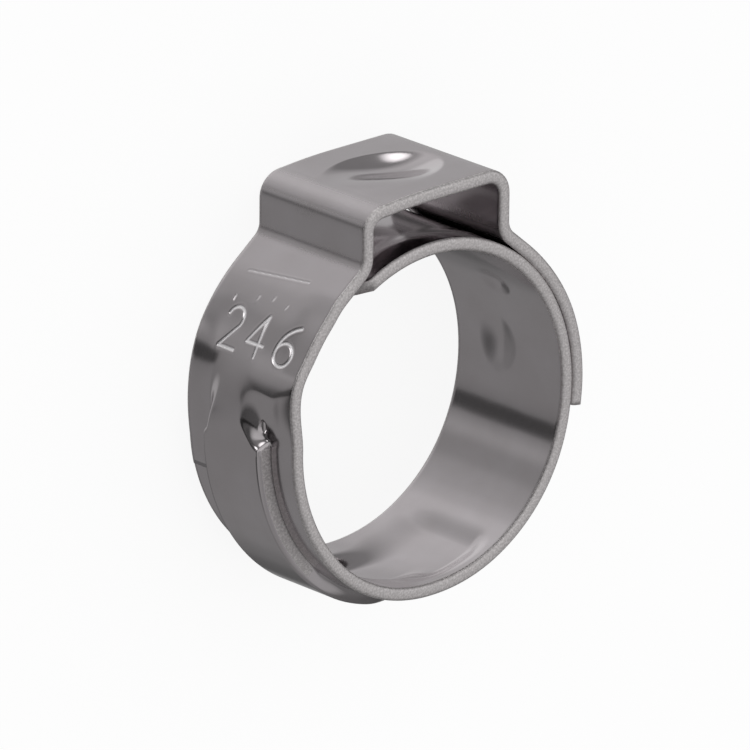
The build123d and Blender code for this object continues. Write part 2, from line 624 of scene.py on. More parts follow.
@dataclass(frozen=True)
class SlitMouth:
    """The pit that is torn where a sheared wall starts: steep above, sloped below."""

    along: float
    across: float
    length: float = 0.3  # half its length
    width: float = 0.24  # half its width
    depth: float = 0.2
    steep: float = 0.2  # how much its deepest place lies near the upper end
    rim: float = 0.1  # share of the pit over which its edge falls

    def lifts(self, along: float, across: float) -> tuple[float, float]:
        """Lift of the bore side and of the outer side at a place on the strip.

        Args:
            along: Distance along the strip.
            across: Distance from the middle of the strip.

        Returns:
            Both lifts.
        """
        x = (along - self.along) / self.length
        z = (across - self.across) / self.width
        edge = max(0.0, 1 - x * x - z * z)
        slid = x - self.steep * edge
        bowl = ease(max(0.0, 1 - slid * slid - z * z))
        return 0.0, -self.depth * bowl * min(edge / self.rim, 1.0)


@dataclass(frozen=True)
class Basin:
    """The broad dip on the bore side where the tongue's groove starts."""

    knots: Rule  # distance and depth
    back: tuple[float, float] = (-HALF_BAND, -0.2)
    front: tuple[float, float] = (2.0, 3.1)

    def lifts(self, along: float, across: float) -> tuple[float, float]:
        """Lift of the bore side and of the outer side at a place on the strip.

        Args:
            along: Distance along the strip.
            across: Distance from the middle of the strip.

        Returns:
            Both lifts.
        """
        if not self.knots[0][0] < along < self.knots[-1][0]:
            return 0.0, 0.0
        rise = ease((across - self.back[0]) / (self.back[1] - self.back[0]))
        fall = ease((self.front[1] - across) / (self.front[1] - self.front[0]))
        return blend_between(self.knots, along) * rise * fall, 0.0


@dataclass(frozen=True)
class Settle:
    """How the front of the raised band has settled towards the bore."""

    start: float
    end: float
    fall: float = 0.1
    run_in: float = 1.2  # over which it sinks at each end
    inner: float = 1.4  # across the strip, where it starts
    width: float = 1.5  # over which it sinks towards the front

    def lifts(self, along: float, across: float) -> tuple[float, float]:
        """Lift of the bore side and of the outer side at a place on the strip.

        Args:
            along: Distance along the strip.
            across: Distance from the middle of the strip.

        Returns:
            Both lifts.
        """
        share = ease((along - self.start) / self.run_in) * ease((self.end - along) / self.run_in)
        sunk = self.fall * share * ease((across - self.inner) / self.width)
        return -sunk, -sunk


@dataclass(frozen=True)
class Slack:
    """A slight bulge of the ring, which isn't perfectly round."""

    along: float
    reach: float
    rise: float

    def lifts(self, along: float, across: float) -> tuple[float, float]:
        """Lift of the bore side and of the outer side at a place on the strip."""
        lift = self.rise * (1 - ease(abs(along - self.along) / self.reach))
        return lift, lift


@dataclass(frozen=True)
class Dimple:
    """The oval dish pressed into the top of the ear, deepest near its right end."""

    middle: tuple[float, float]
    half_length: float = 3.3
    half_width: float = 2.15
    depth: float = 0.47
    lowest: float = 0.42  # shift of its lowest place, as a share of the half length
    lean: float = 0.35  # shift of its lowest place to the back, as a share of the half width
    bowl: float = 1.4  # how much it is drawn to its lowest place

    def lifts(self, along: float, across: float) -> tuple[float, float]:
        """Lift of the bore side and of the outer side at a place on the strip.

        Args:
            along: Distance along the strip.
            across: Distance from the middle of the strip.

        Returns:
            Both lifts.
        """
        x = (along - self.middle[0]) / self.half_length
        z = (across - self.middle[1]) / self.half_width
        edge = 1 - x * x - z * z
        if edge <= 0:
            return 0.0, 0.0
        slid, forward = x - self.lowest * edge, z + self.lean * edge
        sunk = -self.depth * max(0.0, 1 - slid * slid - forward * forward) ** self.bowl
        return sunk, sunk


@dataclass(frozen=True)
class Crown:
    """The slight arch of the ear's top, which is lowest at its left corner."""

    start: float
    end: float
    corner: float
    slant: float = 0.05
    fall: float = 0.13
    sag: float = 2.2  # how late the top falls towards its left corner

    def lifts(self, along: float, across: float) -> tuple[float, float]:
        """Lift of the bore side and of the outer side at a place on the strip.

        Args:
            along: Distance along the strip.
            across: Distance from the middle of the strip.

        Returns:
            Both lifts.
        """
        middle, half = (self.start + self.end) / 2, (self.end - self.start) / 2
        away = min(max((along - middle) / half, -1.0), 1.0)
        beyond = max(abs(along - middle) - half, 0.0) / self.corner
        sunk = self.slant * (1 - away) + self.fall * max(-away, 0.0) ** self.sag
        return -sunk * (1 - ease(beyond)), -sunk * (1 - ease(beyond))


@dataclass(frozen=True)
class Stroke:
    """A straight or round stroke of a digit."""

    start: tuple[float, float]
    end: tuple[float, float] = (0.0, 0.0)
    radius: float = 0.0  # 0 for a straight stroke, else start is the centre
    sector: tuple[float, float] = (0.0, 360.0)

    def distance(self, x: float, y: float) -> float:
        """Distance of a point from the stroke.

        Args:
            x: Of the point, from the digit's left foot.
            y: Of the point.

        Returns:
            The distance.
        """
        if self.radius:
            x, y = x - self.start[0], y - self.start[1]
            low, high = self.sector
            angle = (math.degrees(math.atan2(y, x)) - low) % 360
            if angle <= high - low:
                return abs(math.hypot(x, y) - self.radius)
            ends = (math.radians(low), math.radians(high))
            tips = [(self.radius * math.cos(a), self.radius * math.sin(a)) for a in ends]
            return min(math.hypot(x - a, y - b) for a, b in tips)
        dx, dy = self.end[0] - self.start[0], self.end[1] - self.start[1]
        x, y = x - self.start[0], y - self.start[1]
        share = min(max((x * dx + y * dy) / (dx * dx + dy * dy), 0.0), 1.0)
        return math.hypot(x - share * dx, y - share * dy)


class Digit(Enum):
    """Engraved digits of single strokes, in a box 1.1 mm wide and 1.8 mm high."""

    TWO = (
        Stroke((0.52, 1.3), radius=0.48, sector=(-35, 165)),
        Stroke((0.913, 1.025), (0.0, 0.0)),
        Stroke((0.0, 0.0), (1.05, 0.0)),
    )
    FOUR = (
        Stroke((0.78, 0.0), (0.78, 1.8)),
        Stroke((0.78, 1.8), (0.0, 0.55)),
        Stroke((0.0, 0.55), (1.1, 0.55)),
    )
    SIX = (
        Stroke((0.52, 0.52), radius=0.5, sector=(0, 360)),
        Stroke((1.42, 0.5), radius=1.4, sector=(112, 180)),
    )


@dataclass(frozen=True)
class Engraving:
    """A row of digits cut into the outer side, reading towards the ear."""

    foot: float  # distance along the strip of the digits' feet
    places: tuple[tuple[Digit, float], ...]
    nicks: tuple[Stroke, ...] = ()  # stray marks of handling
    width: float = 0.21
    depth: float = 0.04
    lip: tuple[float, float, float] = (0.12, 1.35, 0.4)  # share of depth, place and reach
    nick_shallow: float = 0.05  # how much narrower a nick is to each side
    margin: float = 0.3  # round the digits and nicks
    digit_box: tuple[float, float] = (1.1, 1.8)
    row_height: float = 3.9  # digits and nicks together

    def lifts(self, along: float, across: float) -> tuple[float, float]:
        """Lift of the bore side and of the outer side at a place on the strip.

        Args:
            along: Distance along the strip.
            across: Distance from the middle of the strip.

        Returns:
            Both lifts.
        """
        y = along - self.foot
        if not -self.margin < y < self.row_height + self.margin:
            return 0.0, 0.0
        wide, high = (size + self.margin for size in self.digit_box)
        near = 1.0
        for digit, left in self.places:
            x = across - left
            if -self.margin < x < wide and y < high:
                near = min(near, *(stroke.distance(x, y) for stroke in digit.value))
        for nick in self.nicks:
            near = min(near, nick.distance(across, y) + self.nick_shallow)
        share = near / (self.width / 2)
        part, place, reach = self.lip
        lip = part * self.depth * max(0.0, 1 - abs(share - place) / reach)
        return 0.0, lip - self.depth * (1 - ease(share))


@dataclass
class ClampBand:
    """The whole clamp: one strip, rolled round the bore and hooked to itself."""

    bore_radius: float = 7.65
    thickness: float = 0.6
    lap_radius: float = 8.3
    half_band: float = HALF_BAND
    half_tongue: float = 1.5
    tongue_tip: float = 194.0
    shoulder: float = 117.3
    shoulder_end: float = 129.4
    step_low: float = 177.0
    step_high: float = 154.0
    left_leg: float = 3.64  # bore side
    right_leg: float = 3.76
    lift_off: float = 128.7  # where the strip leaves the ring for the ear
    ear_top: float = 10.22  # bore side
    left_corner: float = 0.75  # bore side
    right_corner: float = 0.65
    foot: float = 1.3  # bore side
    outer_end: float = -8.3
    side_break: float = 0.15
    window_corner: float = 0.35
    window_side: float = 0.1  # clearance of a hook in its window, to each side
    window_face: float = 0.05  # at the sheared face
    window_tail: float = 0.35  # at the foot of the ramp
    tip_radius: float = 0.8  # corners of the tongue
    beyond: float = 5.0  # half width that is well off the strip
    join: float = 0.03  # corners closer than this become one after a cut
    sheared_from: float = -133.0  # angles between which the tunnel's walls are bare
    sheared_to: float = -181.0
    soft_rim: float = 2.0  # half width beyond which the edge of a cut face is smooth
    across: tuple[float, ...] = (
        0.0, 0.2, 0.4, 0.6, 0.8, 0.95, 1.1, 1.22, 1.33, 1.44, 1.52, 1.6, 1.66, 1.72, 1.78,
        1.84, 1.88, 1.925, 1.95, 2.0, 2.08, 2.18, 2.3, 2.45, 2.6, 2.8, 3.0, 3.2, 3.5,
    )
    marks: dict[str, float] = field(default_factory=dict)

    def round_bore(self, angle: float) -> float:
        """Distance along the strip of an angle on the inner band, or on the step."""
        return math.radians(self.tongue_tip - angle) * self.bore_radius

    def climb_to(self, leg: float, corner: float) -> tuple[Run, Run]:
        """Straight slope off the ring and the rest of one leg of the ear.

        Args:
            leg: Distance of the leg's bore side from the middle.
            corner: Radius above it, on the bore side.

        Returns:
            The slope and the leg.
        """
        climb = math.radians(self.lift_off - 90)
        slope = (self.lap_radius * math.sin(climb) - leg) / math.cos(climb)
        corner_y = self.lap_radius * math.cos(climb) + slope * math.sin(climb)
        cut = self.foot * math.tan((math.pi / 2 - climb) / 2)
        return (
            Run(slope - cut, spacing=0.15),
            Run(self.ear_top - corner - corner_y - cut, spacing=0.2),
        )

    def lay_path(self) -> Path:
        """Lays the strip's line round the bore, over the ear and down to its end.

        Returns:
            The line.
        """
        r = self.bore_radius

        def arc(
            start: float, end: float, spacing: float, radius: float = r, rise: float = 0.0
        ) -> Run:
            """A clockwise arc about the bore."""
            return Run(math.radians(start - end) * radius, start - end, rise, spacing)

        turn = 180 - self.lift_off
        foot = Run(math.radians(turn) * self.foot, -turn, spacing=0.09)
        corners = [
            Run(math.pi / 2 * radius, 90, spacing=0.09)
            for radius in (self.left_corner, self.right_corner)
        ]
        left_slope, left_leg = self.climb_to(self.left_leg, self.left_corner)
        right_slope, right_leg = self.climb_to(self.right_leg, self.right_corner)
        width = self.left_leg + self.right_leg - self.left_corner - self.right_corner
        runs = [
            arc(self.tongue_tip, self.shoulder, 0.35),
            arc(self.shoulder, 39, 0.25),
            arc(39, 26, 0.1),
            arc(26, 19, 0.2),
            arc(19, -5, 0.1),
            arc(-5, -70, 0.25),
            arc(-70, -172, 0.2),
            arc(-172, self.step_low - 360, 0.1),
            arc(self.step_low - 360, self.step_high - 360, 0.1, rise=self.lap_radius - r),
            arc(self.step_high, self.lift_off, 0.15, self.lap_radius),
            left_slope,
            foot,
            left_leg,
            corners[0],
            Run(width, spacing=0.1),
            corners[1],
            right_leg,
            foot,
            right_slope,
            arc(180 - self.lift_off, self.outer_end, 0.2, self.lap_radius),
        ]
        tip = math.radians(self.tongue_tip)
        path = Path(r * Vector((math.cos(tip), math.sin(tip))), self.tongue_tip - 90, runs)
        starts = [start for start, _, _ in path.starts]
        self.marks = {
            "raised": starts[9],
            "crease": starts[10],
            "top": starts[14],
            "top_end": starts[15],
            "lap": starts[19],
        }
        return path

    def hooks(self) -> list[HookTool]:
        """The support hook and the locking hook.

        Returns:
            Both tools.
        """
        return [
            HookTool(self.round_bore(-3.2), -0.8, 2.8, 1.8),
            HookTool(self.round_bore(27.5), 0.15, 1.35, 1.5),
        ]

    def on_lap(self, angle: float) -> float:
        """Distance along the strip of an angle on the outer band, right of the ear."""
        return self.marks["lap"] + math.radians(180 - self.lift_off - angle) * self.lap_radius

    def presses(self) -> list[Press]:
        """All tools that form the strip, with their places on it.

        Returns:
            The tools.
        """
        at, raise_ = self.round_bore, self.lap_radius - self.bore_radius
        low, high = self.step_low - 360, self.step_high - 360

        def rule(*knots: tuple[float, float]) -> Rule:
            """Knots at angles on the inner band, as distances along the strip."""
            return tuple((at(angle), value) for angle, value in knots)

        top, end = self.marks["top"], self.marks["top_end"]
        tunnel = Tunnel(
            height=rule((-71, 0.0), (-105, raise_), (low, raise_), (high, 0.0)),
            shoulder=rule(
                (-76, 0.6), (-105, 1.55), (-125, 1.75), (-150, 1.75), (low, 1.5), (high, 0.9)
            ),
            foot=rule((-76, 2.7), (-105, 2.4), (-125, 2.1), (-150, 2.0), (low, 1.97), (high, 2.2)),
            inner_shoulder=rule((-76, 0.3), (-92, 0.8), (-106, 1.4), (-160, 1.54), (high, 1.54)),
            inner_foot=rule((-76, 2.9), (-92, 2.4), (-106, 1.9), (-160, 1.66), (high, 1.7)),
            sheared=rule((-122, 0.0), (-140, 1.0), (-180.5, 1.0), (-184, 0.0)),
            inward=rule((-179.5, 0.0), (-189, 1.0), (high, 0.9)),
        )
        return [
            tunnel,
            Step(self.angle_on_left, tunnel, self.step_low, self.step_high, raise_),
            SlitMouth(at(-187.3), 1.6),
            Basin(rule((-56, 0.0), (-67, 0.3), (-78, 0.3), (-98, 0.0))),
            Bead(at(119), at(62)),
            Settle(at(-203.5), self.marks["raised"] + 3.6),
            Slack(self.on_lap(42), 3.5, -0.05),
            Slack(at(-37), 5.5, 0.08),
            Slack(at(-88), 3.0, -0.04),
            Slack(at(-152), 5.0, -0.05),
            Dimple(((top + end) / 2 - 0.5, 0.2)),
            Crown(top, end, self.left_corner * math.pi / 2),
            *self.hooks(),
        ]

    def angle_on_left(self, along: float) -> float:
        """Angle of a place on the tunnel, the step or the raised band beyond it.

        Args:
            along: Distance along the strip.

        Returns:
            Degrees counter-clockwise from +X.
        """
        raised = self.marks["raised"]
        if along < raised:
            return self.tongue_tip - math.degrees(along / self.bore_radius) + 360
        return self.step_high - math.degrees((along - raised) / self.lap_radius)

    def engraving(self) -> Engraving:
        """The size number, in plain digits.

        Returns:
            The tool that cuts it.
        """
        places = ((Digit.TWO, -2.05), (Digit.FOUR, -0.35), (Digit.SIX, 1.55))
        nicks = (
            Stroke((-2.3, 3.35), (1.3, 3.75)),
            Stroke((-2.12, 1.95), (-2.1, 2.2)),
            Stroke((-0.85, 2.2), (-0.8, 2.5)),
            Stroke((0.05, 2.45), (0.1, 2.7)),
            Stroke((1.0, 2.3), (1.05, 2.5)),
        )
        return Engraving(self.marks["raised"] + 0.02, places, nicks)

    def cut_blank(self, path: Path) -> Blank:
        """Blanks the strip flat, with its tongue and both windows.

        Args:
            path: Line that it will follow.

        Returns:
            The flat strip, thick and with its edges broken.
        """
        across = [-z for z in reversed(self.across)] + list(self.across[1:])
        blank = Blank(path.cross_lines(), across)
        narrow, wide = self.round_bore(self.shoulder_end), self.round_bore(self.shoulder)
        for side in (1, -1):
            blank.punch(
                [
                    Vector((-1.0, side * self.half_tongue, 0)),
                    Vector((narrow, side * self.half_tongue, 0)),
                    Vector((wide, side * self.half_band, 0)),
                    Vector((wide, side * self.beyond, 0)),
                    Vector((-1.0, side * self.beyond, 0)),
                ]
            )
            self.round_tip(blank, side)
        for hook in self.hooks():
            angle = self.tongue_tip - math.degrees(hook.face / self.bore_radius)
            face = self.on_lap(angle)
            half_width = hook.width / 2 + (hook.wall + self.window_side)
            tail = face - hook.length - hook.wall - self.window_tail
            blank.punch(
                self.die(
                    (tail, hook.middle - half_width),
                    (face + self.window_face, hook.middle + half_width),
                )
            )
        blank.tidy(self.join)
        blank.thicken(self.thickness)
        blank.break_edges(self.half_band, self.side_break)
        return blank

    def round_tip(self, blank: Blank, side: int) -> None:
        """Rounds one corner of the tongue's tip.

        Args:
            blank: The flat strip.
            side: 1 or -1 for the corner's side.
        """
        radius = self.tip_radius
        centre = Vector((radius, side * (self.half_tongue - radius), 0))
        point = Vector((-0.01, side * (self.half_tongue + 0.01), 0))
        turns = [math.radians(90 + 90 * i / 4) for i in range(5)]
        arc = [centre + radius * Vector((math.cos(a), side * math.sin(a), 0)) for a in turns]
        for here, there in zip(arc, arc[1:]):
            blank.punch([here, point, there])

    def die(self, low: tuple[float, float], high: tuple[float, float]) -> list[Vector]:
        """Outline of a window with rounded corners.

        Args:
            low: Its lowest corner on the sheet.
            high: Its highest corner.

        Returns:
            Its points in order.
        """
        tool = bmesh.new()
        bmesh.ops.create_grid(tool, x_segments=1, y_segments=1, size=0.5)
        size = Vector((high[0] - low[0], high[1] - low[1], 1))
        bmesh.ops.scale(tool, verts=tool.verts, vec=size)
        middle = Vector(((low[0] + high[0]) / 2, (low[1] + high[1]) / 2, 0))
        bmesh.ops.translate(tool, verts=tool.verts, vec=middle)
        bmesh.ops.bevel(
            tool,
            geom=tool.verts[:],
            offset=self.window_corner,
            affect="VERTICES",
            segments=4,
            profile=0.5,
            material=-1,
        )
        tool.faces.ensure_lookup_table()
        points = [loop.vert.co.copy() for loop in tool.faces[0].loops]
        tool.free()
        return points

    def build(self, finishes: list[Any]) -> None:
        """Blanks, engraves and forms the strip.

        Args:
            finishes: Rolled finish, sheared finish.
        """
        path = self.lay_path()
        blank = self.cut_blank(path)
        engraving = self.engraving()
        foot, top = engraving.foot - 0.15, engraving.foot + 2.1
        mouth = (self.round_bore(-179), self.round_bore(-204))
        for low, high, cuts in (
            ((foot, -2.25), (top, 2.85), 3),  # the digits
            ((top, -2.4), (top + 1.9, 1.4), 2),  # the nicks above them
            ((mouth[0], -1.1), (mouth[1], 2.25), 1),  # the mouth of the slit
        ):
            self.divide_skin(blank, low, high, cuts)
        self.form(blank, path, self.presses(), engraving)
        mesh = bpy.data.meshes.new("rolled_band")
        blank.mesh.to_mesh(mesh)
        blank.mesh.free()
        for finish in finishes:
            mesh.materials.append(finish)
        band = bpy.data.objects.new("rolled_band", mesh)
        bpy.context.scene.collection.objects.link(band)
        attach(band, "root")
        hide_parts("clamp_band")
        LOG.info("rolled_band: %d faces", len(mesh.polygons))

    def divide_skin(
        self, blank: Blank, low: tuple[float, float], high: tuple[float, float], cuts: int
    ) -> None:
        """Divides a patch of the outer skin finely.

        Args:
            blank: The flat, thick strip.
            low: Lowest corner of the patch on the sheet.
            high: Its highest corner.
            cuts: Of each edge.
        """
        edges: list[Any] = []
        for face in blank.mesh.faces:
            middle = face.calc_center_median()
            if middle.z > self.thickness - Blank.CLOSE:
                if low[0] < middle.x < high[0] and low[1] < middle.y < high[1]:
                    edges.extend(face.edges)
        bmesh.ops.subdivide_edges(blank.mesh, edges=once(edges), cuts=cuts, use_grid_fill=True)

    def form(self, blank: Blank, path: Path, presses: list[Press], engraving: Engraving) -> None:
        """Rolls the flat strip up, with everything pressed into it.

        Args:
            blank: The flat, thick strip.
            path: Line that it follows.
            presses: Tools that lift its faces.
            engraving: Digits.
        """
        mesh = blank.mesh
        skin = self.thickness - Blank.CLOSE  # above this a corner is on the outer side
        bare = self.round_bore(self.sheared_from), self.round_bore(self.sheared_to)
        flow = mesh.loops.layers.uv.new("strip")
        engraving_and_highlight = mesh.verts.layers.float.new("engraving_and_highlight")
        worked = mesh.verts.layers.float.new("worked")
        for face in mesh.faces:
            face.smooth = True
            middle = face.calc_center_median()
            if middle.z > skin and Tunnel.wall[0] < abs(middle.y) < Tunnel.wall[1]:
                if bare[0] < middle.x < bare[1]:
                    face.material_index = 1
            for loop in face.loops:
                loop[flow].uv = (loop.vert.co.x * MM, loop.vert.co.y * MM)
        for edge in mesh.edges:
            if len({face.material_index for face in edge.link_faces}) == 2:
                edge.smooth = max(abs(vert.co.y) for vert in edge.verts) > self.soft_rim
        for vert in mesh.verts:
            along, across, height = vert.co
            share = height / self.thickness
            bore_side = outer_side = 0.0
            for press in presses:
                inner, outer = press.lifts(along, across)
                bore_side, outer_side = bore_side + inner, outer_side + outer
            if height > skin:
                cut = engraving.lifts(along, across)[1]
                outer_side += cut
                # share of the engraving's depth, which the finish turns into rougher metal and a
                # painted highlight
                vert[engraving_and_highlight] = min(1.0, max(0.0, -cut / engraving.depth))
            vert[worked] = path.worked(along)
            lift = height + bore_side + (outer_side - bore_side) * share
            place, outward = path.at(along)
            vert.co = Vector((*(place + outward * lift), across)) * MM


# --- Finishes -----------------------------------------------------------------


@dataclass(frozen=True)
class RolledSteel:
    """Stainless strip with a bright cold-rolled skin.

    Polished rolls leave a half-mirror that blurs reflections a little, with faint
    lines along the strip. Where it was bent the grains stand up and dull it. An
    engraved line is bare and rough; its near-white colour is partly that bare
    metal and partly a painted highlight that makes the strokes bright.
    """

    colour: str = "#cac5c8"
    dull: str = "#bbb5b6"
    # near-white colour of an engraved line: partly bare rough metal, partly a painted highlight
    # that makes the strokes bright
    cut: str = "#fbf9fb"
    roughness: float = 0.11
    line: float = 0.11  # real ones are 0.02 wide, too fine to show
    strand: float = 0.02  # how much a line's width is of its length
    patch: float = 2.2  # of slightly duller skin
    wave: float = 1.6
    grain: float = 0.09
    # lowered on engraved lines so that their near-white painted highlight shows as matt brightness
    bare_metal: float = 0.55  # metallic value of an engraved line
    dulling: tuple[float, ...] = (0.04, 0.05, 0.2, 0.3)  # by lines, patches, bends and cuts
    wave_height: float = 0.005
    line_height: float = 0.0002
    grain_height: tuple[float, float] = (0.00015, 0.0012)  # when flat, and more where bent

    def make(self) -> Any:
        """Makes the material.

        Returns:
            The material.
        """
        steel = bpy.data.materials.new("cold_rolled_stainless")
        steel.use_nodes = True
        tree = steel.node_tree
        shader = tree.nodes["Principled BSDF"]
        flow = node(tree, "ShaderNodeUVMap", uv_map="strip").outputs[0]
        finest = self.line * MM
        scale = (self.strand / finest, 1 / finest, 1)
        stretched = node(tree, "ShaderNodeMapping", {0: flow, 3: scale})
        lines = node(tree, "ShaderNodeTexNoise", {0: stretched.outputs[0], "Scale": 1.0})
        patches, waves, grains = [
            node(tree, "ShaderNodeTexNoise", {0: flow, "Scale": 1 / (size * MM), "Detail": detail})
            for size, detail in ((self.patch, 3.0), (self.wave, 0.0), (self.grain, 1.0))
        ]
        engraving_and_highlight = node(tree, "ShaderNodeAttribute", attribute_name="engraving_and_highlight").outputs["Fac"]
        worked = node(tree, "ShaderNodeAttribute", attribute_name="worked").outputs["Fac"]

        skin = node(
            tree,
            "ShaderNodeMix",
            {0: patches.outputs[0], 6: srgb(self.colour), 7: srgb(self.dull)},
            data_type="RGBA",
        )
        # engraved lines turn near white: partly bare rough metal, partly a painted highlight
        bare = node(
            tree,
            "ShaderNodeMix",
            {0: engraving_and_highlight, 6: skin.outputs[2], 7: srgb(self.cut)},
            data_type="RGBA",
        )
        tree.links.new(bare.outputs[2], shader.inputs["Base Color"])
        # and less metallic, so that the painted highlight reads as matt brightness
        scatter = node(
            tree,
            "ShaderNodeMath",
            {0: engraving_and_highlight, 1: self.bare_metal - 1, 2: 1.0},
            operation="MULTIPLY_ADD",
        )
        tree.links.new(scatter.outputs[0], shader.inputs["Metallic"])

        rough: Any = self.roughness - 0.02
        sources = (lines.outputs[0], patches.outputs[0], worked, engraving_and_highlight)
        for source, amount in zip(sources, self.dulling):
            rough = node(
                tree, "ShaderNodeMath", {0: source, 1: amount, 2: rough}, operation="MULTIPLY_ADD"
            ).outputs[0]
        tree.links.new(rough, shader.inputs["Roughness"])

        flat, bent = self.grain_height
        stood = node(
            tree, "ShaderNodeMath", {0: worked, 1: bent, 2: flat}, operation="MULTIPLY_ADD"
        )
        surface = None
        for source, height in (
            (waves.outputs[0], self.wave_height),
            (lines.outputs[0], self.line_height),
            (grains.outputs[0], stood.outputs[0]),
        ):
            inputs = {"Strength": 1.0, "Height": source}
            if surface:
                inputs["Normal"] = surface
            bump = node(tree, "ShaderNodeBump", inputs)
            if isinstance(height, float):
                bump.inputs["Distance"].default_value = height * MM
            else:
                scaled = node(tree, "ShaderNodeMath", {0: height, 1: MM}, operation="MULTIPLY")
                tree.links.new(scaled.outputs[0], bump.inputs["Distance"])
            surface = bump.outputs[0]
        tree.links.new(surface, shader.inputs["Normal"])
        return steel


@dataclass(frozen=True)
class ShearedSteel:
    """Edge of the strip as the slitting knives leave it, then tumbled.

    It is torn and grainy, so it scatters the light, with bright specks.
    """

    colour: str = "#c2bebe"
    bright: str = "#e2dede"
    roughness: float = 0.45
    roughness_spread: float = 0.15
    grain: float = 0.1  # torn grains, drawn about twice as coarse as they are
    grain_height: float = 0.003
    speck: tuple[float, float] = (0.4, 0.68)  # grain values between which it turns bright

    def make(self) -> Any:
        """Makes the material.

        Returns:
            The material.
        """
        steel = bpy.data.materials.new("sheared_stainless")
        steel.use_nodes = True
        tree = steel.node_tree
        shader = tree.nodes["Principled BSDF"]
        place = node(tree, "ShaderNodeTexCoord").outputs["Object"]
        grains = node(
            tree, "ShaderNodeTexNoise", {0: place, "Scale": 1 / (self.grain * MM), "Detail": 3.0}
        )
        specks = node(
            tree,
            "ShaderNodeMapRange",
            {"Value": grains.outputs[0], "From Min": self.speck[0], "From Max": self.speck[1]},
        )
        colour = node(
            tree,
            "ShaderNodeMix",
            {0: specks.outputs[0], 6: srgb(self.colour), 7: srgb(self.bright)},
            data_type="RGBA",
        )
        tree.links.new(colour.outputs[2], shader.inputs["Base Color"])
        shader.inputs["Metallic"].default_value = 1.0
        rough = node(
            tree,
            "ShaderNodeMath",
            {0: grains.outputs[0], 1: self.roughness_spread, 2: self.roughness},
            operation="MULTIPLY_ADD",
        )
        tree.links.new(rough.outputs[0], shader.inputs["Roughness"])
        height = {"Distance": self.grain_height * MM, "Height": grains.outputs[0]}
        bump = node(tree, "ShaderNodeBump", {"Strength": 1.0, **height})
        tree.links.new(bump.outputs[0], shader.inputs["Normal"])
        return steel


# --- Studio -----------------------------------------------------------------


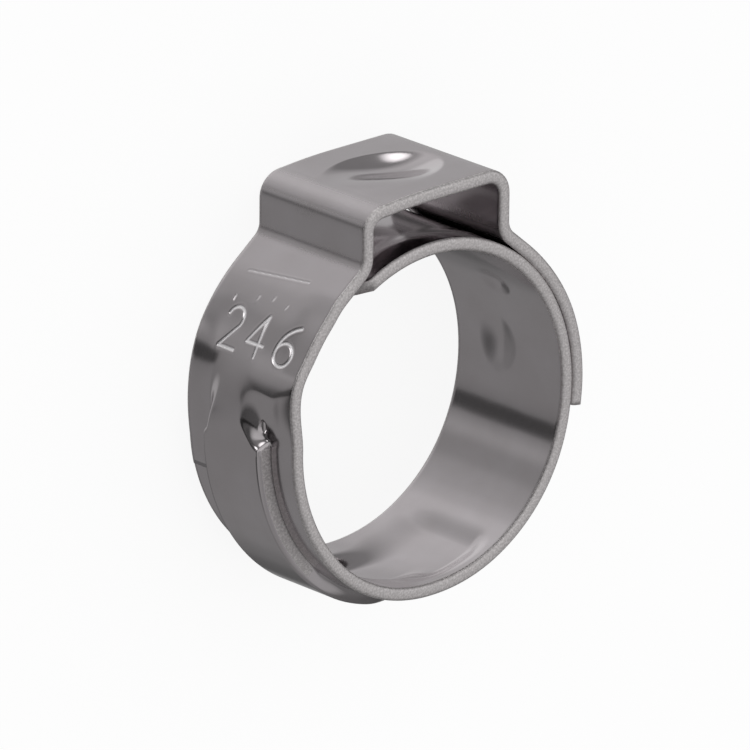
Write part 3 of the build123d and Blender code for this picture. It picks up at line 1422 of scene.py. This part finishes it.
@dataclass(frozen=True)
class Studio:
    """Pale floor, a soft panorama round it, and a camera from above and the left."""

    floor_size: float = 900.0
    floor_level: float = -HALF_BAND
    floor_glow: float = 0.88  # share of the floor that the camera sees as plain white
    lens: float = 607.638
    camera_place: tuple[float, float, float] = (-352.419, 185.390, 389.808)
    camera_right: tuple[float, float, float] = (0.74420883, 0.00881283, 0.66788887)
    camera_up: tuple[float, float, float] = (0.21478442, 0.94364971, -0.25177943)
    sheets: Rule = (  # azimuth and brightness round the clamp
        (-180, 0.33), (-168, 0.37), (-110, 0.37), (-90, 0.35), (-75, 0.26), (-62, 0.165),
        (-52, 0.135), (-42, 0.3), (-30, 0.58), (-10, 0.62), (5, 0.64), (30, 0.66),
        (50, 0.8), (75, 0.91), (97, 0.9),
        (107, 0.72), (117, 0.6), (127, 0.55), (138, 0.43), (147, 0.42), (156, 0.56),
        (166, 0.42), (169.5, 0.085), (179.5, 0.07),
    )
    lamp: float = 0.6  # brightness of the round sheet straight behind
    below: Rule = (  # brightness far behind the clamp
        (-180, 0.33), (-120, 0.28), (-85, 0.14), (-60, 0.18), (-30, 0.6), (0, 0.95), (60, 1.1),
        (110, 0.9), (150, 0.5), (180, 0.35),
    )
    belt: Rule = (  # darkening of the sheets at the clamp's level
        (-180, 0.3), (-150, 0.35), (-122, 0.9), (-60, 1.0), (-35, 0.7), (0, 0.42),
        (60, 0.42), (110, 0.4), (140, 0.25), (180, 0.25),
    )
    dome: Rule = (  # brightness of the sheets before the clamp
        (-180, 0.7), (-140, 0.5), (-100, 0.42), (-60, 0.6), (-27, 0.85), (5, 1.1), (50, 1.1),
        (90, 0.9), (180, 0.8),
    )
    boxes: tuple[tuple[float, float, float, float], ...] = (  # direction, cosine of reach
        (0.1, 0.99, -0.1, 0.95), (-0.6, 0.768, -0.225, 0.965),
    )
    box_glow: float = 3.2  # brightness in the middle of a box
    mirrored_level: float = 0.81  # strength of what the metal mirrors
    lit_level: float = 0.9  # strength of the plain light that falls on matt things

    def build(self) -> None:
        """Makes the floor, the panorama with its bright boxes, and the camera."""
        self.lay_floor()
        self.paint_panorama()
        self.place_camera()
        bpy.context.scene.view_settings.view_transform = "Standard"

    def lay_floor(self) -> None:
        """Lays a square of white paper under the clamp."""
        sheet = bmesh.new()
        bmesh.ops.create_grid(sheet, x_segments=1, y_segments=1, size=self.floor_size / 2 * MM)
        bmesh.ops.translate(sheet, verts=sheet.verts, vec=(0, 0, self.floor_level * MM))
        mesh = bpy.data.meshes.new("floor")
        sheet.to_mesh(mesh)
        sheet.free()
        floor = bpy.data.objects.new("floor", mesh)
        bpy.context.scene.collection.objects.link(floor)
        floor.visible_glossy = False
        floor.visible_shadow = False
        mesh.materials.append(self.white_paper())

    def white_paper(self) -> Any:
        """Matt white paper, which is nearly pure white but keeps a soft shadow.

        Returns:
            The material.
        """
        paper = bpy.data.materials.new("white_paper")
        paper.use_nodes = True
        tree = paper.node_tree
        tree.nodes.clear()
        path = node(tree, "ShaderNodeLightPath")
        matt = node(tree, "ShaderNodeBsdfDiffuse", {"Color": srgb("#fbfbfb")})
        glow = node(tree, "ShaderNodeEmission", {"Color": srgb("#ffffff"), "Strength": 1.0})
        share = node(
            tree,
            "ShaderNodeMath",
            {0: path.outputs["Is Camera Ray"], 1: self.floor_glow},
            operation="MULTIPLY",
        )
        mix = node(
            tree,
            "ShaderNodeMixShader",
            {0: share.outputs[0], 1: matt.outputs[0], 2: glow.outputs[0]},
        )
        node(tree, "ShaderNodeOutputMaterial", {"Surface": mix.outputs[0]})
        return paper

    def paint_panorama(self) -> None:
        """Paints the surroundings: pale sheets, with darker openings between them."""
        world = bpy.data.worlds.new("studio")
        bpy.context.scene.world = world
        world.use_nodes = True
        tree = world.node_tree
        tree.nodes.clear()
        place = node(tree, "ShaderNodeTexCoord")
        parts = node(tree, "ShaderNodeSeparateXYZ", {0: place.outputs["Generated"]})
        turn = node(
            tree,
            "ShaderNodeMath",
            {0: parts.outputs["Y"], 1: parts.outputs["X"]},
            operation="ARCTAN2",
        )
        share = node(
            tree,
            "ShaderNodeMapRange",
            {"Value": turn.outputs[0], "From Min": -math.pi, "From Max": math.pi},
        )
        lit: Any = (*(self.lamp,) * 3, 1.0)
        for stops, low, high, blend in (  # heights between which each takes over
            (self.below, -0.96, -0.9, "MIX"),
            (self.sheets, -0.8, -0.75, "MIX"),
            (self.belt, -0.6, -0.38, "MULTIPLY"),
            (self.dome, 0.35, 0.55, "MIX"),
        ):
            ramp = node(tree, "ShaderNodeValToRGB", {0: share.outputs[0]})
            ramp.color_ramp.interpolation = "EASE"
            set_stops(ramp, [((azimuth + 180) / 360, grey) for azimuth, grey in stops])
            bounds = {"From Min": low, "From Max": high}
            height = node(tree, "ShaderNodeMapRange", {"Value": parts.outputs["Z"], **bounds})
            lit = node(
                tree,
                "ShaderNodeMix",
                {0: height.outputs[0], 6: lit, 7: ramp.outputs[0]},
                data_type="RGBA",
                blend_type=blend,
            ).outputs[2]
        for *box, reach in self.boxes:
            toward = node(
                tree,
                "ShaderNodeVectorMath",
                {0: place.outputs["Generated"], 1: box},
                operation="DOT_PRODUCT",
            ).outputs["Value"]
            bounds = {"From Min": reach, "From Max": 1.0, "To Max": self.box_glow}
            glow = node(tree, "ShaderNodeMapRange", {"Value": toward, **bounds})
            lit = node(
                tree,
                "ShaderNodeMix",
                {0: 1.0, 6: lit, 7: glow.outputs[0]},
                data_type="RGBA",
                blend_type="ADD",
            ).outputs[2]
        seen = node(
            tree, "ShaderNodeBackground", {"Color": lit, "Strength": self.mirrored_level}
        )
        white = node(
            tree, "ShaderNodeBackground", {"Color": srgb("#ffffff"), "Strength": self.lit_level}
        )
        path = node(tree, "ShaderNodeLightPath")
        mirrored = node(
            tree,
            "ShaderNodeMath",
            {0: path.outputs["Is Glossy Ray"], 1: path.outputs["Is Transmission Ray"]},
            operation="ADD",
        )
        mix = node(
            tree,
            "ShaderNodeMixShader",
            {0: mirrored.outputs[0], 1: white.outputs[0], 2: seen.outputs[0]},
        )
        node(tree, "ShaderNodeOutputWorld", {"Surface": mix.outputs[0]})

    def place_camera(self) -> None:
        """Sets the camera above and to the left, a long way off."""
        lens = bpy.data.cameras.new("camera")
        lens.lens = self.lens
        lens.sensor_width = 36.0
        lens.clip_start = 0.01
        lens.clip_end = 10.0
        camera = bpy.data.objects.new("camera", lens)
        right, up = Vector(self.camera_right), Vector(self.camera_up)
        turn = Matrix((right, up, right.cross(up))).transposed().to_4x4()
        camera.matrix_world = Matrix.Translation(Vector(self.camera_place) * MM) @ turn
        bpy.context.scene.collection.objects.link(camera)
        bpy.context.scene.camera = camera


def main() -> None:
    """Builds the clamp and its studio, piece by piece."""
    logging.basicConfig(level=logging.INFO, format="%(name)s: %(message)s")
    ClampBand().build([RolledSteel().make(), ShearedSteel().make()])
    Studio().build()


if __name__ == "__main__":
    main()
